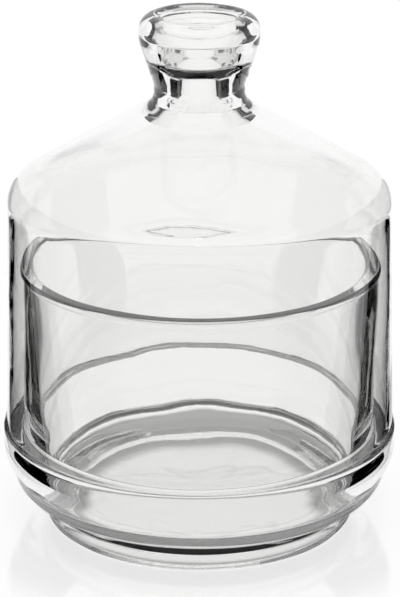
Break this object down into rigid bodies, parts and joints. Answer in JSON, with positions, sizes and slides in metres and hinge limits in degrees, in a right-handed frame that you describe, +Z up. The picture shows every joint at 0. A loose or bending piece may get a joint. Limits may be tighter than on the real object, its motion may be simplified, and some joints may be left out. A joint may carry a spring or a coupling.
{
  "type": "glass food keeper",
  "caption": "Clear glass keeper: a footed dish with an upright collar, under a bell cover with a hollow knob that lifts straight off.",
  "frame": {"origin": "centre of the foot ring, on the table", "axes": "+Z up along the axis of the jar, through the knob; X and Y are equal, because the object is round"},
  "size_m": [0.093, 0.0928, 0.1207],
  "materials": {
    "dish_glass": "clear pressed glass, fire polished",
    "cover_glass": "clear thin glass, fire polished"
  },
  "bodies": {
    "base": {"base_dish": "dish_glass"},
    "cover": {"cover_bell": "cover_glass", "knob": "cover_glass"}
  },
  "joints": [
    {"name": "cover_lift", "type": "slide", "parent": "base", "child": "cover", "axis": [0, 0, 1], "range_m": [0, 0.06]}
  ]
}
